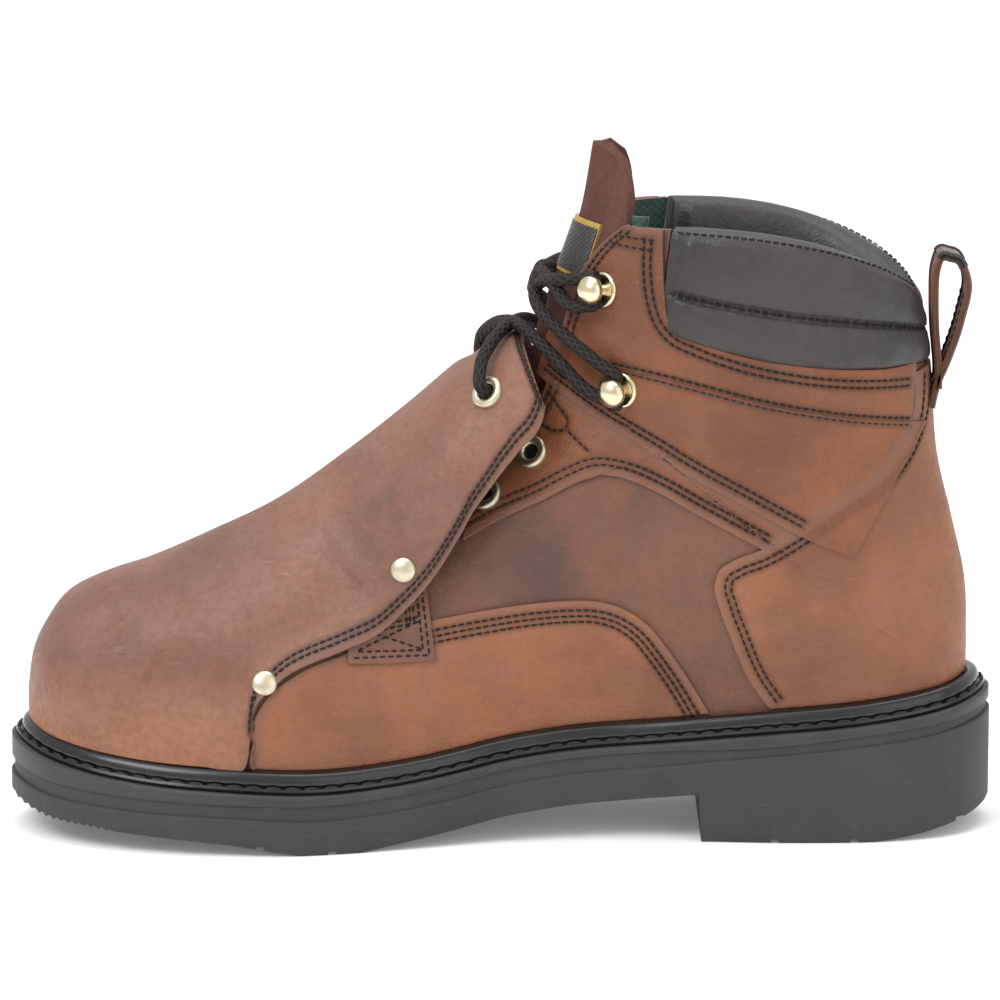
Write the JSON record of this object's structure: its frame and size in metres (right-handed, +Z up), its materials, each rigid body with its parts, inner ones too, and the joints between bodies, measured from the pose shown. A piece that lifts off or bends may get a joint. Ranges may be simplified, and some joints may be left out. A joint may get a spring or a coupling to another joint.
{
  "type": "metatarsal guard boot",
  "caption": "Right ankle-high leather work boot with a riveted metatarsal guard over the instep, padded collar, lace and a heeled rubber sole.",
  "frame": {"origin": "ground under the middle of the outsole's bounding box", "axes": "+X to the heel, -Y to the inner (medial) side, +Z up; the toe points to -X"},
  "size_m": [0.318, 0.1106, 0.2216],
  "materials": {
    "tread_rubber": "moulded dark grey rubber with fine wear",
    "midsole_rubber": "ground grey rubber band",
    "welt_rubber": "glossy black rolled welt with black stitching",
    "insole_board": "tan felted insole",
    "brown_leather": "oiled brown leather with scuffs and dark double stitching",
    "guard_leather": "duller brown leather, mottled",
    "collar_leather": "smooth dark grey padded leather",
    "tongue_leather": "matte reddish brown suede side",
    "pale_brass": "polished pale brass",
    "lace_cord": "round woven dark brown lace"
  },
  "bodies": {
    "root": {"outsole": "tread_rubber", "midsole": "midsole_rubber", "welt": "welt_rubber", "insole": "insole_board", "upper": "brown_leather", "counter": "brown_leather", "vamp_wing_medial": "brown_leather", "guard_tab_medial": "brown_leather", "eyestay_medial": "brown_leather", "vamp_wing_lateral": "brown_leather", "guard_tab_lateral": "brown_leather", "eyestay_lateral": "brown_leather", "collar": "collar_leather", "tongue": "tongue_leather", "pull_loop": "brown_leather", "metatarsal_guard": "guard_leather", "rivet_medial_1": "pale_brass", "rivet_medial_2": "pale_brass", "guard_eyelet_medial": "pale_brass", "eyelet_medial_1": "pale_brass", "eyelet_medial_2": "pale_brass", "hook_medial_1": "pale_brass", "hook_medial_2": "pale_brass", "rivet_lateral_1": "pale_brass", "rivet_lateral_2": "pale_brass", "guard_eyelet_lateral": "pale_brass", "eyelet_lateral_1": "pale_brass", "eyelet_lateral_2": "pale_brass", "hook_lateral_1": "pale_brass", "hook_lateral_2": "pale_brass", "lace": "lace_cord"}
  },
  "joints": []
}
